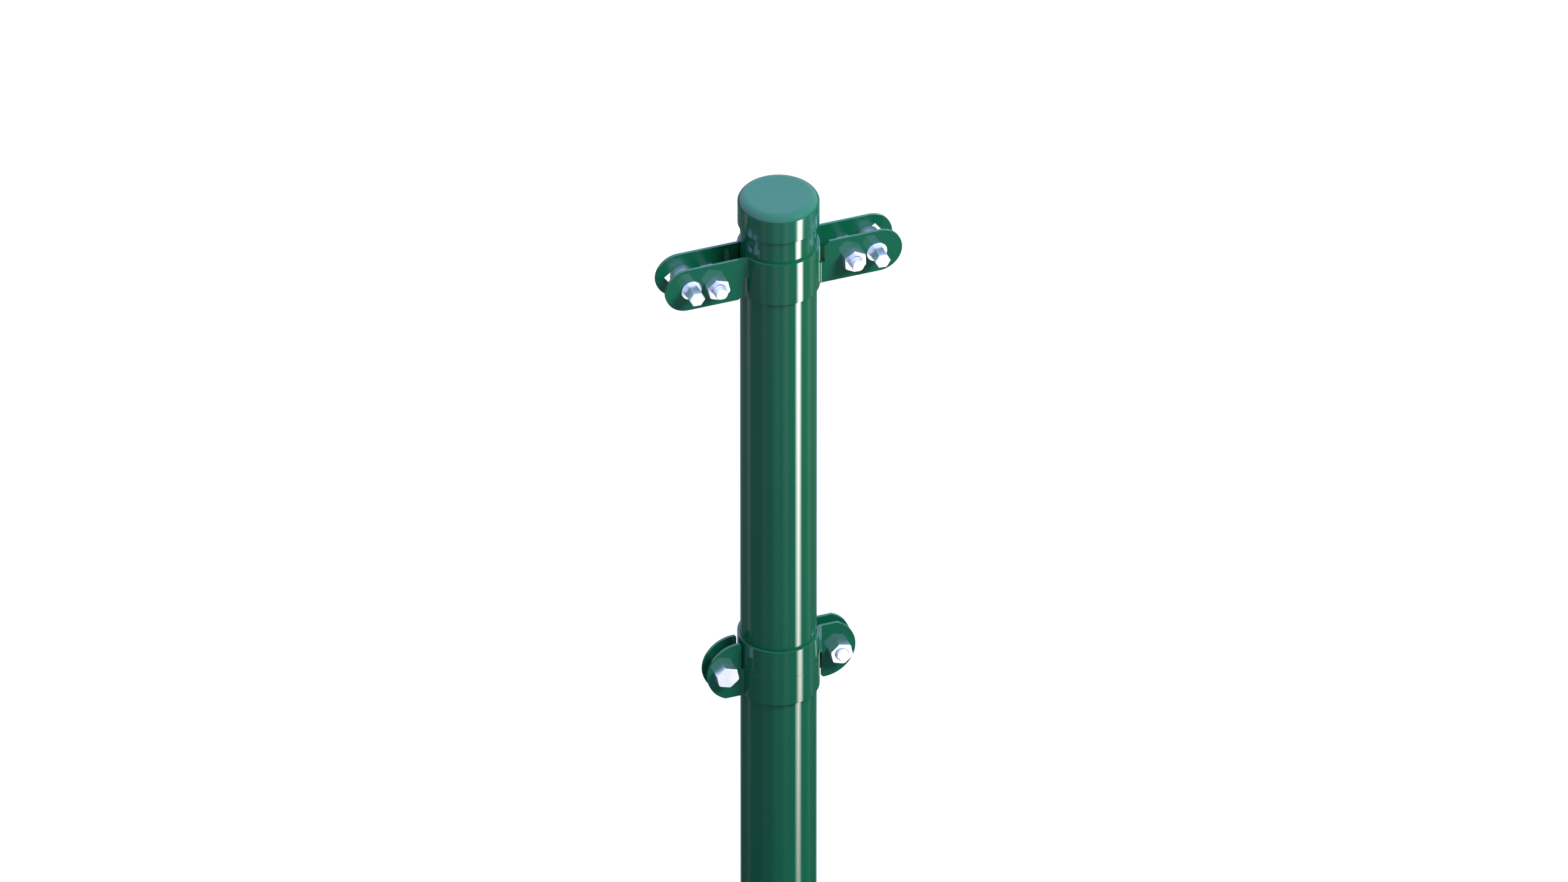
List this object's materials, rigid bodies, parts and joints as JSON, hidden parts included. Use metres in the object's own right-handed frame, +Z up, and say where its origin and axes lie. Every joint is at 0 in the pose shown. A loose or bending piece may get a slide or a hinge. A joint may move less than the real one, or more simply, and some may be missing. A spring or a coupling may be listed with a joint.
{
  "type": "wire fence line post",
  "caption": "Round coated steel fence post with slip-on cap, clamp collars for the mesh and a turning wire tensioner on each side.",
  "frame": {"origin": "centre of the tube's lower end", "axes": "+Z up along the tube; +X along the right-hand ears; the front, with the nuts and key hexagons, is -Y"},
  "size_m": [0.196, 0.0648, 1.5045],
  "materials": {
    "green_coating": "gloss",
    "cap_plastic": "satin gloss",
    "bright_zinc": "satin"
  },
  "bodies": {
    "root": {"post_tube": "green_coating", "post_cap": "cap_plastic", "upper_left_collar": "green_coating", "upper_right_collar": "green_coating", "lower_left_collar": "green_coating", "lower_right_collar": "green_coating", "upper_left_screw": "bright_zinc", "upper_left_nut": "bright_zinc", "upper_right_screw": "bright_zinc", "upper_right_nut": "bright_zinc", "lower_left_screw": "bright_zinc", "lower_left_nut": "bright_zinc", "lower_right_screw": "bright_zinc", "lower_right_nut": "bright_zinc"},
    "left_tensioner": {"left_tensioner": "bright_zinc"},
    "right_tensioner": {"right_tensioner": "bright_zinc"}
  },
  "joints": [
    {"name": "left_tensioner_spin", "type": "hinge", "parent": "root", "child": "left_tensioner", "pos_m": [-0.0768, 0, 1.4405], "axis": [0, 1, 0], "continuous": true},
    {"name": "right_tensioner_spin", "type": "hinge", "parent": "root", "child": "right_tensioner", "pos_m": [0.0768, 0, 1.4405], "axis": [0, 1, 0], "continuous": true}
  ]
}
